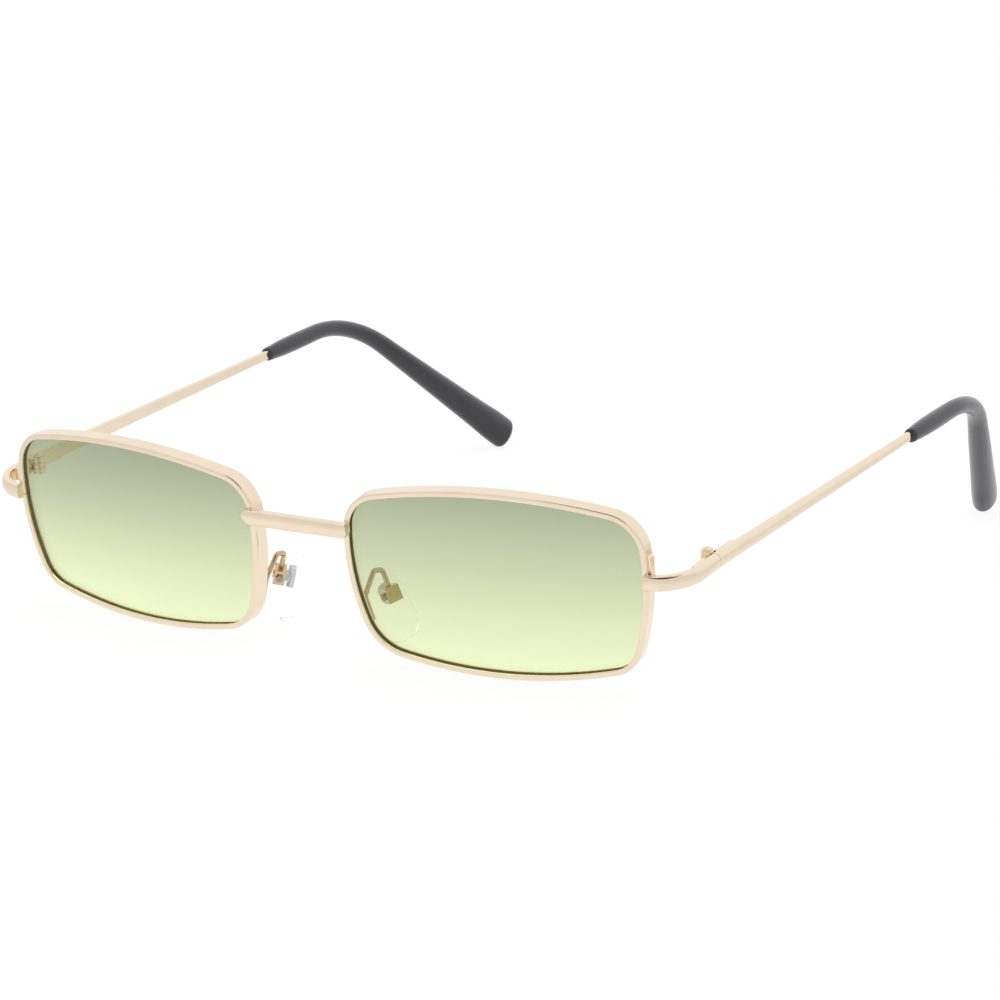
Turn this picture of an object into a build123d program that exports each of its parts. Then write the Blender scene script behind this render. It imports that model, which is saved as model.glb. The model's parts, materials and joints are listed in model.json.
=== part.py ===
"""Narrow rectangle sunglasses: thin metal frame, tinted lenses, wire-held nose pads and folding temples.

Every piece is drawn in the frame of the front: X across the face, Y towards the ears, Z up, with the
origin on the mid plane at the height where the lens openings are widest. The pieces of the wearer's left
side (+X) are drawn, the other side is their mirror image, and the whole is then leaned until rims and tips
stand on one plane.
"""

from build123d import *
import os
from math import asin, atan2, cos, degrees, radians, sin, sqrt

# All lengths are millimetres and all angles are degrees.

# Lens openings, seen square on
opening_half_width = 25.0
opening_top = 10.9
opening_bottom = 18.8
top_arc_radius = 98.0
bottom_arc_radius = 90.0
nasal_arc_radius = 38.8
temporal_arc_radius = 39.4
nasal_top_corner = 6.0
temporal_top_corner = 6.2
nasal_bottom_corner = 7.3
temporal_bottom_corner = 4.9
between_openings = 18.8
lens_curve_radius = 206.0
wrap_angle = 7.1

# Rims and lenses
rim_depth = 2.8
rim_wall = 0.95
groove_depth = 0.45
groove_lip = 0.45
lens_thickness = 1.8
lens_clearance = 0.04

# Bridge, a flat-backed bar with a low crown, brazed across the fronts of the rims
bridge_height = 2.6
bridge_thickness = 1.55
bridge_rise = 3.25
bridge_reach_past_opening = 0.45
bridge_lower_corner = 1.2
bridge_upper_corner = 0.4
bar_crown = 0.35
bar_edge_radius = 0.25
braze_depth = 0.12

# End pieces and temple bars, of one bar section at the hinge
bar_height = 2.5
bar_thickness = 1.5
bar_drop = 1.2
bar_outside_opening = 6.5
gap_behind_rim = 11.3
hinge_gap = 0.1
lug_start = 0.35
lug_seat = 1.0

# Closing blocks that join the two ends of each rim, the upper one with a tongue up the rim's outer wall
split_drop = 1.8
split_gap = 0.1
block_reach = 1.95
block_rise = 0.75
block_fall = 0.8
tongue_reach = 0.4
tongue_depth = 1.15
tongue_rise = 4.7
tongue_slope = 0.3
closing_screw_radius = 0.5
closing_screw_length = 1.5
closing_head_radius = 0.8
closing_head_height = 0.4
closing_screw_inset = 1.0

# Hinges
hinge_offset = 1.95
hinge_behind_gap = 0.6
barrel_radius = 1.1
knuckle_height = 0.9
knuckle_gap = 0.05
running_clearance = 0.06
leaf_thickness = 0.6
leaf_height = 2.1
front_leaf_length = 5.5
temple_leaf_length = 7.3
hinge_screw_radius = 0.45
hinge_head_radius = 0.78
hinge_head_height = 0.3
pin_clearance = 0.04
slot_width = 0.28
slot_depth = 0.2

# Temples
temple_overlap = 0.4
toe_in = 1.2
temple_drop = 3.9
bend_after_gap = 84.1
bend_radius = 24.5
bend_angle = 46.3
bend_tilt = 23.8
temple_length = 138.7
mouth_after_gap = 69.0
mouth_bar_height = 1.6
mouth_bar_thickness = 1.1
bar_in_tip = 2.0
core_radius = 0.55
core_short_of_end = 5.0

# Temple tips, in shares of the tip's length, of the paddle's height and of the paddle's thickness
paddle_height = 5.9
paddle_thickness = 4.4
tip_station_shares = (
    (0.00, 0.40, 0.54),
    (0.04, 0.46, 0.62),
    (0.30, 0.49, 0.66),
    (0.47, 0.55, 0.75),
    (0.62, 0.66, 0.87),
    (0.76, 0.79, 0.93),
    (0.88, 0.91, 0.98),
    (0.94, 1.00, 1.00),
    (1.00, 1.00, 0.98),
)
tip_pitch = 3.8
tip_end_radius = 1.3
tip_mouth_radius = 0.35

# Nose pads and what carries them, set in from the opening's nasal side; a pad has its own axes in its box
pad_box_inset = 1.6
pad_box_y = 7.3
pad_box_drop = 10.6
pad_splay = 32.7
pad_frontal_angle = 19.5
box_depth = 1.9
box_width = 2.5
box_height = 2.6
box_side_wall = 0.55
box_back_wall = 0.25
box_top_wall = 0.35
box_boss_radius = 0.65
box_boss_height = 0.2
tab_width = 1.25
tab_height = 1.3
pad_standoff = 1.25
pad_thickness = 2.4
pad_upper_radius = 2.7
pad_lower_radius = 3.4
pad_height = 12.6
pad_below_box = 2.1
pad_edge_radius = 0.95
insert_radius = 1.3
insert_length = 3.6
insert_thickness = 0.5
insert_depth = 0.7
pad_screw_radius = 0.3
pad_head_radius = 0.6
pad_head_height = 0.4
arm_radius = 0.42
arm_root_inset = 1.45
arm_root_drop = 12.9
arm_turn_inset = 0.3
arm_turn_drop = 9.0
arm_loop_inset = 0.1
arm_loop_y = 5.1
arm_loop_drop = 6.0
arm_over_box = 2.9
arm_bend_radius = 0.9

# Length that a cutting shape runs past what it cuts
overrun = 6.0

right_angle = 90.0

# What follows from the sizes above
nasal_x = between_openings / 2
lens_centre_x = nasal_x + opening_half_width
bar_x = lens_centre_x + opening_half_width + bar_outside_opening


def lens_place():
    """Frame of one lens: its centre, turned by the wrap so that the temporal side lies further back."""
    return Pos(lens_centre_x, 0, 0) * Rot(Z=wrap_angle)


def rim_front(across, height):
    """X and Y of the rim's front surface, at a distance across from the lens centre and a height."""
    sag = lens_curve_radius - sqrt(lens_curve_radius**2 - across**2 - height**2)
    turn = radians(wrap_angle)
    return (
        lens_centre_x + across * cos(turn) - sag * sin(turn),
        across * sin(turn) + sag * cos(turn),
    )


def lens_outline(grow=0):
    """The opening's outline as a flat face: four large discs' common area with rounded corners, grown."""
    discs = (
        Pos(0, opening_top - top_arc_radius) * Circle(top_arc_radius + grow),
        Pos(0, bottom_arc_radius - opening_bottom) * Circle(bottom_arc_radius + grow),
        Pos(nasal_arc_radius - opening_half_width, 0) * Circle(nasal_arc_radius + grow),
        Pos(opening_half_width - temporal_arc_radius, 0) * Circle(temporal_arc_radius + grow),
    )
    outline = discs[0] & discs[1] & discs[2] & discs[3]
    by_x = outline.vertices().sort_by(Axis.X)
    nasal = by_x[:2].sort_by(Axis.Y)
    temporal = by_x[2:].sort_by(Axis.Y)
    corners = (
        (nasal[0], nasal_bottom_corner),
        (nasal[1], nasal_top_corner),
        (temporal[0], temporal_bottom_corner),
        (temporal[1], temporal_top_corner),
    )
    for corner, radius in corners:
        nearest = outline.vertices().sort_by_distance(corner)[0]
        outline = fillet(nearest, radius + grow)
    return outline


def outline_prism(grow=0):
    """The grown outline carried front to back through the whole depth of a rim."""
    flat = Plane.XZ * lens_outline(grow)
    return extrude(flat, rim_depth + overrun, both=True)


def lens_shell(front, back):
    """Round shell of the lens curve, from one depth behind the rim's front to another."""
    outer = Sphere(lens_curve_radius - front)
    inner = Sphere(lens_curve_radius - back)
    return Pos(0, lens_curve_radius, 0) * (outer - inner)


def groove_back():
    """Depth of the far side of the lens groove behind the rim's front."""
    return groove_lip + lens_thickness + lens_clearance + lens_clearance


def rim_band():
    """One rim before it is split: a grooved band that follows the lens curve."""
    band = (outline_prism(rim_wall) - outline_prism()) & lens_shell(0, rim_depth)
    groove = outline_prism(groove_depth) & lens_shell(groove_lip, groove_back())
    return lens_place() * (band - groove)


def split_box():
    """Thin slice that parts a rim on its temporal side, between the closing blocks."""
    x, y = rim_front(opening_half_width, -split_drop)
    size = rim_wall + overrun
    return Pos(x + size / 2 - groove_depth, y + rim_depth / 2, -split_drop) * Box(
        size, rim_depth + overrun, split_gap
    )


def make_rim():
    return rim_band() - split_box()


def make_lens():
    """Lens with a plain edge that sits in the rim's groove."""
    edge = outline_prism(groove_depth - lens_clearance)
    faces = lens_shell(groove_lip + lens_clearance, groove_lip + lens_clearance + lens_thickness)
    return lens_place() * (edge & faces)


def bar_section(plane, height, thickness, spare=0):
    """Bar section on a plane: flat at the back, low crown at the front, which is the plane's x direction."""
    back, front = -thickness / 2 - spare, thickness / 2
    half = height / 2
    edges = (
        Line((back, -half), (back, half)),
        Line((back, half), (front - bar_crown, half)),
        ThreePointArc((front - bar_crown, half), (front, 0), (front - bar_crown, -half)),
        Line((front - bar_crown, -half), (back, -half)),
    )
    face = make_face(Curve() + list(edges))
    return plane * fillet(face.vertices(), bar_edge_radius)


def make_bridge(rims):
    """Straight bar across both rims, its ends cut round at the lower corners and coped to the rims."""
    half_length = lens_centre_x - opening_half_width + bridge_reach_past_opening
    back_y = rim_front(-opening_half_width, bridge_rise)[1] + braze_depth
    start = Plane(
        origin=(-half_length, back_y - bridge_thickness / 2, bridge_rise),
        x_dir=(0, -1, 0),
        z_dir=(1, 0, 0),
    )
    bar = extrude(bar_section(start, bridge_height, bridge_thickness), half_length + half_length)
    front_view = Rectangle(half_length + half_length, bridge_height)
    by_height = front_view.vertices().sort_by(Axis.Y)
    front_view = fillet(by_height[:2], bridge_lower_corner)
    by_height = front_view.vertices().sort_by(Axis.Y)
    front_view = fillet(by_height[-2:], bridge_upper_corner)
    trim = extrude(Plane.XZ * front_view, bridge_thickness + overrun, both=True)
    bar = bar & (Pos(0, back_y, bridge_rise) * trim)
    for rim in rims:
        bar = bar - rim
    return bar


def bar_place():
    """Frame in the middle of the hinge gap, on the bar's centre line."""
    rim_y = rim_front(opening_half_width, -bar_drop)[1]
    return Pos(bar_x, rim_y + gap_behind_rim, -bar_drop)


def lug_angle():
    """Direction of the rim's front surface under the end piece, from the X axis."""
    across = opening_half_width + lug_start
    return wrap_angle + degrees(asin(across / lens_curve_radius))


def lug_path():
    """Centre line of an end piece: over the rim's front, round the corner and back to the hinge gap."""
    across = opening_half_width + lug_start
    x, y = rim_front(across, -bar_drop)
    turn = radians(lug_angle())
    off = bar_thickness / 2 - braze_depth
    start = Vector(x + off * sin(turn), y - off * cos(turn), -bar_drop)
    along = Vector(cos(turn), sin(turn), 0)
    seat_end = start + along * lug_seat
    radius = (bar_x - seat_end.X) / (1 - sin(turn))
    bend = JernArc(start=seat_end, tangent=along, radius=radius, arc_size=right_angle - lug_angle())
    end = (bar_place() * Pos(0, -hinge_gap / 2, 0)).position
    return Curve() + [Line(start, seat_end), bend, Line(bend @ 1, end)]


def make_end_piece(rim):
    """Bar brazed to the front of the rim, bent round to the hinge."""
    turn = radians(lug_angle())
    path = lug_path()
    start = path.edges().sort_by_distance(Vector(lens_centre_x, 0, -bar_drop))[0] @ 0
    plane = Plane(origin=start, x_dir=(sin(turn), -cos(turn), 0), z_dir=(cos(turn), sin(turn), 0))
    bar = sweep(bar_section(plane, bar_height, bar_thickness), path=Wire(path.edges()))
    return bar - rim


def split_place():
    """Frame on the rim's outer wall at the split, behind the lip in front of the groove."""
    x, y = rim_front(opening_half_width + rim_wall, -split_drop)
    return Pos(x, y + groove_lip, -split_drop)


def block(reach, depth, rise):
    """Block on the rim's outer wall, from the split upwards."""
    return Pos(0, 0, split_gap / 2) * Box(
        reach + reach, depth, rise, align=(Align.CENTER, Align.MIN, Align.MIN)
    )


def closing_blocks(rim_fill, end_piece):
    """Lower and upper closing block behind the end piece, each brazed to its own end of the rim."""
    depth = rim_depth - groove_lip
    tongue = block(tongue_reach, tongue_depth, tongue_rise)
    slope = (tongue.edges() | Axis.Y).group_by(Axis.Z)[-1].sort_by(Axis.X)[-1]
    upper = split_place() * (block(block_reach, depth, block_rise) + chamfer(slope, tongue_slope))
    lower = split_place() * mirror(block(block_reach, depth, block_fall), about=Plane.XY)
    screw = closing_screw_shape()
    head_room = closing_head_room()
    return lower - rim_fill - end_piece - screw - head_room, upper - rim_fill - end_piece - screw


def closing_screw_place():
    """Foot of the closing screw's head, on the screw's axis."""
    return split_place() * Pos(
        closing_screw_inset,
        (rim_depth - groove_lip) / 2,
        -split_gap / 2 - block_fall,
    )


def closing_slot():
    """Driver slot across the closing screw's head, whose flat end faces down."""
    upright = (Align.CENTER, Align.CENTER, Align.MIN)
    return closing_screw_place() * Box(closing_head_radius + overrun, slot_width, slot_depth, align=upright)


def closing_screw_shape():
    """Screw from below: head sunk in the lower block, thread in the upper one."""
    upright = (Align.CENTER, Align.CENTER, Align.MIN)
    head = Cylinder(closing_head_radius, closing_head_height, align=upright)
    shank = Cylinder(closing_screw_radius, closing_screw_length, align=upright)
    return closing_screw_place() * (head + shank)


def closing_head_room():
    """Counterbore for the closing screw's head."""
    upright = (Align.CENTER, Align.CENTER, Align.MIN)
    room_radius = closing_head_radius + pin_clearance
    return closing_screw_place() * Cylinder(room_radius, closing_head_height, align=upright)


def make_closing_screw():
    return closing_screw_shape() - closing_slot()


def hinge_place():
    """Frame on the hinge axis at mid height."""
    return bar_place() * Pos(-hinge_offset, hinge_behind_gap, 0)


def knuckle(level):
    """One knuckle of the hinge barrel; level is -1, 0 or 1 from the lowest to the highest."""
    return Pos(0, 0, level * (knuckle_height + knuckle_gap)) * Cylinder(barrel_radius, knuckle_height)


def knuckle_web(level, towards):
    """Web from a knuckle's middle to the leaf, on the front's side (-1) or on the temple's side (1)."""
    reach = barrel_radius + running_clearance + leaf_thickness / 2
    web = Box(barrel_radius, reach, knuckle_height, align=(Align.MIN, Align.MIN, Align.CENTER))
    if towards < 0:
        web = mirror(web, about=Plane.XZ)
    return Pos(0, 0, level * (knuckle_height + knuckle_gap)) * web


def make_hinge_front(end_piece, screw):
    """Leaf on the end piece's inner face with the upper and lower knuckles."""
    inner = hinge_offset - bar_thickness / 2
    near = barrel_radius + running_clearance
    length = front_leaf_length - near + hinge_behind_gap
    leaf = Pos(inner - leaf_thickness, -near, 0) * Box(
        leaf_thickness + braze_depth, length, leaf_height, align=(Align.MIN, Align.MAX, Align.CENTER)
    )
    shape = leaf
    for level in (-1, 1):
        shape = shape + knuckle(level) + knuckle_web(level, -1)
    return hinge_place() * shape - end_piece - screw


def temple_leaf():
    """Leaf of the temple's hinge half, let into the bar's inner face by the braze depth."""
    start = barrel_radius + running_clearance + hinge_behind_gap
    return temple_place() * Pos(-bar_thickness / 2 - leaf_thickness, start, 0) * Box(
        leaf_thickness + braze_depth,
        temple_leaf_length - start,
        leaf_height,
        align=(Align.MIN, Align.MIN, Align.CENTER),
    )


def make_hinge_temple(temple):
    """Leaf with the middle knuckle, which turns on the screw."""
    middle = knuckle(0) + knuckle_web(0, 1)
    bore = Cylinder(hinge_screw_radius + pin_clearance, knuckle_height + overrun)
    return (temple_leaf() + hinge_place() * (middle - bore)) - temple


def hinge_screw_shape():
    """Hinge screw: shank through all three knuckles, head on top."""
    top = knuckle_height * 3 / 2 + knuckle_gap
    shank = Cylinder(hinge_screw_radius, top * 2)
    head = Pos(0, 0, top) * Cylinder(
        hinge_head_radius, hinge_head_height, align=(Align.CENTER, Align.CENTER, Align.MIN)
    )
    return hinge_place() * (shank + head)


def make_hinge_screw():
    top = knuckle_height * 3 / 2 + knuckle_gap + hinge_head_height
    slot = Pos(0, 0, top - slot_depth / 2) * Box(slot_width, hinge_head_radius + overrun, slot_depth)
    return hinge_screw_shape() - hinge_place() * slot


def temple_place():
    """Frame of the temple: origin at the hinge gap, Y along the bar, which toes in and drops."""
    return bar_place() * Rot(Z=toe_in) * Rot(X=-temple_drop)


def temple_point(length):
    """Point and direction of the temple's centre line at a length behind the gap, in the temple's frame."""
    tilt = radians(bend_tilt)
    down = Vector(-sin(tilt), 0, -cos(tilt))
    along = Vector(0, 1, 0)
    turned = min(max(length - bend_after_gap, 0), bend_radius * radians(bend_angle))
    angle = turned / bend_radius
    straight = min(length, bend_after_gap)
    point = along * (straight + bend_radius * sin(angle)) + down * (bend_radius * (1 - cos(angle)))
    direction = along * cos(angle) + down * sin(angle)
    return point + direction * (length - straight - turned), direction


def temple_plane(length):
    """Plane across the temple's centre line, with x outwards, at a length behind the gap."""
    point, direction = temple_point(length)
    return Plane(origin=point, x_dir=(1, 0, 0), z_dir=direction)


def temple_back():
    """Space behind the temple bar's flat back, which follows the taper."""
    taper = degrees(atan2((bar_thickness - mouth_bar_thickness) / 2, mouth_after_gap))
    return Pos(-bar_thickness / 2, 0, 0) * Rot(Z=-taper) * Pos(0, -overrun, 0) * Box(
        overrun + overrun,
        mouth_after_gap + overrun + overrun,
        bar_height + overrun,
        align=(Align.MAX, Align.MIN, Align.CENTER),
    )


def temple_bar():
    """Tapered bar from the gap to just inside the tip, drawn too thick and cut flat at the back."""
    growth = 1 + temple_overlap / mouth_after_gap
    start_height = mouth_bar_height + (bar_height - mouth_bar_height) * growth
    start_thickness = mouth_bar_thickness + (bar_thickness - mouth_bar_thickness) * growth
    start, mouth = temple_plane(-temple_overlap), temple_plane(mouth_after_gap)
    ends = [
        bar_section(start, start_height, start_thickness, overrun),
        bar_section(mouth, mouth_bar_height, mouth_bar_thickness, overrun),
    ]
    bar = loft(ends, ruled=True) - temple_back()
    flat = bar.faces().filter_by(GeomType.PLANE).sort_by(SortBy.AREA)[-1]
    bar = fillet(flat.edges().sort_by(SortBy.LENGTH)[-2:], bar_edge_radius)
    return bar + extrude(bar_section(mouth, mouth_bar_height, mouth_bar_thickness), bar_in_tip)


def core_wire():
    """Round core in the tip, on the temple's centre line."""
    start = mouth_after_gap + bar_in_tip / 2
    end = temple_length - core_short_of_end
    bend_length = bend_radius * radians(bend_angle)
    points = [temple_point(length)[0] for length in
              (start, bend_after_gap, bend_after_gap + bend_length / 2, bend_after_gap + bend_length, end)]
    path = Wire([
        Line(points[0], points[1]).edge(),
        ThreePointArc(points[1], points[2], points[3]).edge(),
        Line(points[3], points[4]).edge(),
    ])
    return sweep(temple_plane(start) * Circle(core_radius), path=path)


def make_temple():
    """Bar and core wire in one piece, cut square to the end piece in front and seated for the hinge leaf."""
    shape = temple_place() * (temple_bar() + core_wire())
    cut = bar_place() * Pos(0, hinge_gap / 2, 0) * Box(
        bar_thickness + overrun, overrun, bar_height + overrun, align=(Align.CENTER, Align.MAX, Align.CENTER)
    )
    return shape - cut - temple_leaf()


def tip_size(share):
    """Height and thickness of the tip at a share of its length, in line between two stations."""
    for (low, low_height, low_thickness), (high, high_height, high_thickness) in zip(
        tip_station_shares, tip_station_shares[1:]
    ):
        if share <= high:
            break
    part = (share - low) / (high - low)
    height = low_height + (high_height - low_height) * part
    thickness = low_thickness + (high_thickness - low_thickness) * part
    return paddle_height * height, paddle_thickness * thickness


def tip_section(share):
    """Oval section of the tip at a share of its length."""
    height, thickness = tip_size(share)
    return temple_plane(mouth_after_gap + share * (temple_length - mouth_after_gap)) * Ellipse(
        thickness / 2, height / 2
    )


def make_temple_tip(temple):
    """Moulded tip: oval sections along the bend that swell into a paddle with a rounded end."""
    count = round((temple_length - mouth_after_gap) / tip_pitch)
    tip = loft([tip_section(number / count) for number in range(count + 1)])
    tip = fillet(tip.faces().sort_by(Axis.Y)[0].edges(), tip_mouth_radius)
    end = tip.faces().filter_by(GeomType.PLANE).sort_by(Axis.Y)[-1]
    tip = fillet(end.edges(), tip_end_radius)
    return temple_place() * tip - temple


def pad_place():
    """Frame of a nose pad: x away from the nose, y towards the ears, z up along the pad."""
    place = Pos(nasal_x + pad_box_inset, pad_box_y, -pad_box_drop)
    return place * Rot(Y=-pad_frontal_angle) * Rot(Z=-pad_splay)


def pad_screw_shape():
    """Screw across the box, its head on the side that faces forwards."""
    shank = Rot(X=right_angle) * Cylinder(pad_screw_radius, box_width)
    head = Pos(0, -box_width / 2 - pad_head_height / 2, 0) * Rot(X=right_angle) * Cylinder(
        pad_head_radius, pad_head_height
    )
    return pad_place() * (shank + head)


def make_pad_screw():
    depth = pad_head_height / 2
    slot = Pos(0, -box_width / 2 - pad_head_height + depth / 2, 0) * Box(
        slot_width, depth, pad_head_radius + overrun
    )
    return pad_screw_shape() - pad_place() * slot


def make_pad_box(screw):
    """Small box, open towards the pad, with a round boss on its outer face."""
    outer = Box(box_depth, box_width, box_height)
    room = Pos(-box_back_wall, 0, 0) * Box(
        box_depth, box_width - box_side_wall - box_side_wall, box_height - box_top_wall - box_top_wall
    )
    boss = Pos(box_depth / 2 + box_boss_height / 2, 0, 0) * Rot(Y=right_angle) * Cylinder(
        box_boss_radius, box_boss_height
    )
    return pad_place() * (outer + boss - room) - screw


def make_pad_arm(rim, box):
    """Bent wire from the back of the rim, over a loop and down to the top of the box."""
    back_y = rim_front(-opening_half_width, -arm_turn_drop)[1] + rim_depth
    seat_y = back_y + arm_radius - braze_depth
    place = pad_place()
    foot = (place * Pos(0, 0, box_height / 2)).position
    over = (place * Pos(0, 0, box_height / 2 + arm_over_box)).position
    points = (
        Vector(nasal_x + arm_root_inset, seat_y, -arm_root_drop),
        Vector(nasal_x + arm_turn_inset, seat_y, -arm_turn_drop),
        Vector(nasal_x + arm_loop_inset, arm_loop_y, -arm_loop_drop),
        over,
        foot,
    )
    path = FilletPolyline(*points, radius=arm_bend_radius)
    wire = sweep(Plane(origin=path @ 0, z_dir=path % 0) * Circle(arm_radius), path=path)
    return wire - rim - box


def pad_outline(upper, lower, length):
    """Egg outline in a pad's y and z: an upper and a lower circle and their common tangents."""
    circles = (
        Pos(0, length / 2 - upper) * Circle(upper),
        Pos(0, lower - length / 2) * Circle(lower),
    )
    edges = circles[0].edges() + circles[1].edges()
    return Plane.YZ * make_hull(edges)


def insert_shape():
    """Stiff insert: an oval plate inside the pad and a tab that enters the box."""
    plate_outline = pad_outline(insert_radius, insert_radius, insert_length)
    plate_x = -pad_standoff - insert_depth - insert_thickness
    plate = Pos(plate_x, 0, 0) * extrude(plate_outline, insert_thickness)
    tab = Box(
        pad_standoff + insert_depth, tab_width, tab_height, align=(Align.MAX, Align.CENTER, Align.CENTER)
    )
    eye = Rot(X=right_angle) * Cylinder(tab_height / 2, tab_width)
    return plate + tab + eye


def make_pad_insert():
    bore = Rot(X=right_angle) * Cylinder(pad_screw_radius + pin_clearance, tab_width + overrun)
    return pad_place() * (insert_shape() - bore)


def make_nose_pad():
    """Clear egg-shaped pad with rounded edges, moulded round its insert."""
    outline = pad_outline(pad_upper_radius, pad_lower_radius, pad_height)
    body = Pos(-pad_standoff - pad_thickness, 0, -pad_below_box) * extrude(outline, pad_thickness)
    body = fillet(body.edges(), pad_edge_radius)
    return pad_place() * (body - insert_shape())


def left_side():
    """Every piece of the wearer's left side, by name."""
    rim = make_rim()
    rim_fill = lens_place() * outline_prism(rim_wall)
    end_piece = make_end_piece(rim)
    lower_block, upper_block = closing_blocks(rim_fill, end_piece)
    temple = make_temple()
    pad_screw = pad_screw_shape()
    pad_box = make_pad_box(pad_screw)
    return {
        "rim": rim,
        "lens": make_lens(),
        "end_piece": end_piece,
        "closing_block_lower": lower_block,
        "closing_block_upper": upper_block,
        "closing_screw": make_closing_screw(),
        "hinge_front": make_hinge_front(end_piece, hinge_screw_shape()),
        "hinge_temple": make_hinge_temple(temple),
        "hinge_screw": make_hinge_screw(),
        "temple": temple,
        "temple_tip": make_temple_tip(temple),
        "pad_arm": make_pad_arm(rim, pad_box),
        "pad_box": pad_box,
        "pad_screw": make_pad_screw(),
        "pad_insert": make_pad_insert(),
        "nose_pad": make_nose_pad(),
    }


def lowest(shapes, lean):
    """Lowest height of some shapes once they are leaned by an angle."""
    return min((Rot(X=lean) * shape).bounding_box().min.Z for shape in shapes)


def resting_lean(rim, tip):
    """Angle at which the rim's lowest edge and the tip's end stand on one level plane."""
    reach = temple_length * cos(radians(bend_angle) / 2)
    low, high = 0, degrees(atan2(temple_length, reach))
    while high - low > 1e-4:
        middle = (low + high) / 2
        if lowest([tip], middle) < lowest([rim], middle):
            low = middle
        else:
            high = middle
    return (low + high) / 2


def main():
    os.makedirs("parts", exist_ok=True)
    left = left_side()
    pieces = {}
    for name, shape in left.items():
        pieces["left_" + name] = shape
        pieces["right_" + name] = mirror(shape, about=Plane.YZ)
    pieces["bridge"] = make_bridge((pieces["left_rim"], pieces["right_rim"]))
    lean = resting_lean(left["rim"], left["temple_tip"])
    leaned = {name: Rot(X=lean) * shape for name, shape in pieces.items()}
    boxes = [shape.bounding_box() for shape in leaned.values()]
    front_y = min(box.min.Y for box in boxes)
    back_y = max(box.max.Y for box in boxes)
    floor_z = min(box.min.Z for box in boxes)
    stand = Pos(0, -(front_y + back_y) / 2, -floor_z)
    for name, shape in leaned.items():
        export_step(stand * shape, "parts/" + name + ".step")
    row = stand * Rot(X=lean)
    print("lean", round(lean, 4), "shift", (row * Pos(0, 0, 0)).position)
    for name, place in (("hinge", hinge_place()), ("pad", pad_place()), ("temple", temple_place())):
        print(name, (row * place).position, (row * place).orientation)


main()
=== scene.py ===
"""Narrow rectangle sunglasses: smooth polished surfaces, tinted lenses and moulded tips on the
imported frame.

Every new piece is a profile carried along a path, worked out as whole arrays in the frame of the
front (X across, Y towards the ears, Z up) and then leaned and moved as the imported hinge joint
says. Lengths are metres.
"""

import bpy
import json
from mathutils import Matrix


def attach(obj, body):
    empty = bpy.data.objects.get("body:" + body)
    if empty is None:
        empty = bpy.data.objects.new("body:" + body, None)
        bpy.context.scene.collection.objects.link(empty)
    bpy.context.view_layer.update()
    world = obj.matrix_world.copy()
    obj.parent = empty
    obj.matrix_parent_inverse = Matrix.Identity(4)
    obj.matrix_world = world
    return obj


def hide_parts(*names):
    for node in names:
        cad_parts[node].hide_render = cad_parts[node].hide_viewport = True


bl_info = {
    "name": "Narrow rectangle sunglasses",
    "version": (1, 0, 0),
    "blender": (4, 5, 0),
    "location": "View3D > Sidebar > Sunglasses",
    "description": "Builds the finished surfaces of the sunglasses round the packed model",
    "category": "Add Mesh",
}

import json
from math import asin, atan2, cos, degrees, radians, sin

import bpy
import numpy as np
from mathutils import Euler, Vector

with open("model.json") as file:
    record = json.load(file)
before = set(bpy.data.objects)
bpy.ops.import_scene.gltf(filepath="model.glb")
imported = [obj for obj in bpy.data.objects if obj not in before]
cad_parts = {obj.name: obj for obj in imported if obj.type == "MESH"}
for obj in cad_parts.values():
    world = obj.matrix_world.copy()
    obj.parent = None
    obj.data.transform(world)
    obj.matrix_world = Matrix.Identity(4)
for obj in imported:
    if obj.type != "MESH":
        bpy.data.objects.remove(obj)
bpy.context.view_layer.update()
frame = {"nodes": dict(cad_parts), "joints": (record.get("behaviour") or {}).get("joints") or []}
HINGE = next(joint for joint in frame["joints"] if joint["name"] == "left_temple_fold")
LEAN = degrees(atan2(-HINGE["axis"][1], HINGE["axis"][2]))
UPRIGHT = (0, -sin(radians(LEAN)), cos(radians(LEAN)))
SIDES = ("left", "right")
MM = 0.001
SHARP_FROM = 38.0  # degrees between two faces, from which their edge is drawn sharp

# Fine patterns: how many marks there are in a metre
GOLD_TONES = 220.0  # 4.5 mm across
TUMBLING_MARKS = 9000.0  # 0.11 mm
TURNING_MARKS = 7000.0  # 0.14 mm
GRINDING_MARKS = 4000.0  # 0.25 mm
MOULDING_GRAIN = 3000.0  # 0.33 mm
PAD_WAVES = 900.0  # 1.1 mm

# What metal shows of the studio, on a ball of radius one round the object
SKY = (0, 0.6, 0.8)  # direction in which the background grows to white
SKY_FROM, SKY_TO = 0.1, 0.7  # how far along it that begins and ends
CARD = (0.21, -0.33, 0)  # middle of the dark card, seen from above
CARD_OUTSIDE, CARD_INSIDE = 1.08, 0.92  # its soft edge, as shares of its half size
CARD_DARK, CARD_PALE = -0.42, -0.16  # how far along Y it starts and ends to turn pale

# Lamps and camera
LAMP_AIM = (0, -0.03, 0.01)
OVERHEAD, OVERHEAD_SIZE = (-0.05, 0.15, 0.7), 0.7
BESIDE, BESIDE_SIZE = (-0.5, -0.5, 0.35), 0.5
EYE = (0.422077, -0.7012542, 0.2098133)
EYE_TURN = (76.32876, 0.22192, 31.38023)  # degrees
EYE_SHIFT = (-0.00215, 0.00036)  # shares of the picture's width
EYE_SENSOR = 36.0  # millimetres


def linear(hex_colour):
    """Linear red, green and blue of an sRGB hex colour."""
    parts = [int(hex_colour[i:i + 2], 16) / 255 for i in (1, 3, 5)]
    return tuple(c / 12.92 if c <= 0.04045 else ((c + 0.055) / 1.055) ** 2.4 for c in parts)


def length(title, description, millimetres):
    """A length that a user may change, given in millimetres."""
    return bpy.props.FloatProperty(
        name=title, description=description, default=millimetres * MM, unit="LENGTH", precision=5
    )


def turn(title, description, angle):
    """An angle that a user may change, in degrees."""
    return bpy.props.FloatProperty(name=title, description=description, default=angle, precision=2)


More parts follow.
